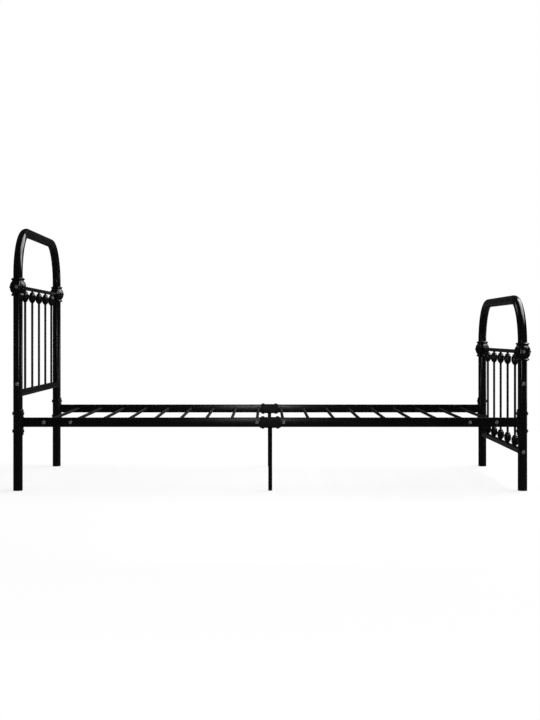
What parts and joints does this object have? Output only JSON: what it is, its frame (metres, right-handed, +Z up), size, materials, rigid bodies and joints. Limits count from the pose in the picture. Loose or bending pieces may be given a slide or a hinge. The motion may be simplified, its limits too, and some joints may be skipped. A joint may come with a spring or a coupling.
{
  "type": "metal bed frame",
  "caption": "Metal bed frame with arched tube head and foot panels, cast ball joints, bolted two-part side rails on saddle brackets, round cross slats and centre legs.",
  "frame": {"origin": "on the floor under the middle of the bed", "axes": "+X along the bed from the headboard towards the footboard, +Y across it, +Z up; left is -Y and right is +Y"},
  "size_m": [2.1208, 0.9956, 1.0785],
  "materials": {
    "frame_coat": "semi-gloss black powder coat with fine orange peel on steel tube",
    "cast_coat": "black enamel, glossy on the raised edges of the cast relief",
    "glide_plastic": "moulded black plastic, satin, slightly scuffed underneath",
    "fastener_steel": "dark plated steel button heads, satin with a soft highlight"
  },
  "bodies": {
    "root": {"head_post_left": "frame_coat", "head_casting_left": "cast_coat", "head_glide_left": "glide_plastic", "head_post_right": "frame_coat", "head_casting_right": "cast_coat", "head_glide_right": "glide_plastic", "head_arch": "frame_coat", "head_top_rail": "frame_coat", "head_bottom_rail": "frame_coat", "head_spindle_1": "cast_coat", "head_spindle_2": "cast_coat", "head_spindle_3": "cast_coat", "head_spindle_4": "cast_coat", "head_spindle_5": "cast_coat", "foot_post_left": "frame_coat", "foot_casting_left": "cast_coat", "foot_glide_left": "glide_plastic", "foot_post_right": "frame_coat", "foot_casting_right": "cast_coat", "foot_glide_right": "glide_plastic", "foot_arch": "frame_coat", "foot_top_rail": "frame_coat", "foot_bottom_rail": "frame_coat", "foot_spindle_1": "cast_coat", "foot_spindle_2": "cast_coat", "foot_spindle_3": "cast_coat", "foot_spindle_4": "cast_coat", "foot_spindle_5": "cast_coat", "side_rail_left_head": "frame_coat", "rail_bracket_left_head": "frame_coat", "side_rail_left_foot": "frame_coat", "rail_bracket_left_foot": "frame_coat", "centre_sleeve_left": "frame_coat", "centre_leg_left": "frame_coat", "centre_glide_left": "glide_plastic", "side_rail_right_head": "frame_coat", "rail_bracket_right_head": "frame_coat", "side_rail_right_foot": "frame_coat", "rail_bracket_right_foot": "frame_coat", "centre_sleeve_right": "frame_coat", "centre_leg_right": "frame_coat", "centre_glide_right": "glide_plastic", "slat_01": "frame_coat", "slat_02": "frame_coat", "slat_03": "frame_coat", "slat_04": "frame_coat", "slat_05": "frame_coat", "slat_06": "frame_coat", "slat_07": "frame_coat", "slat_08": "frame_coat", "slat_09": "frame_coat", "slat_10": "frame_coat", "slat_11": "frame_coat", "slat_12": "frame_coat", "slat_13": "frame_coat", "slat_14": "frame_coat", "slat_15": "frame_coat", "slat_16": "frame_coat", "slat_17": "frame_coat", "slat_18": "frame_coat"}
  },
  "joints": []
}
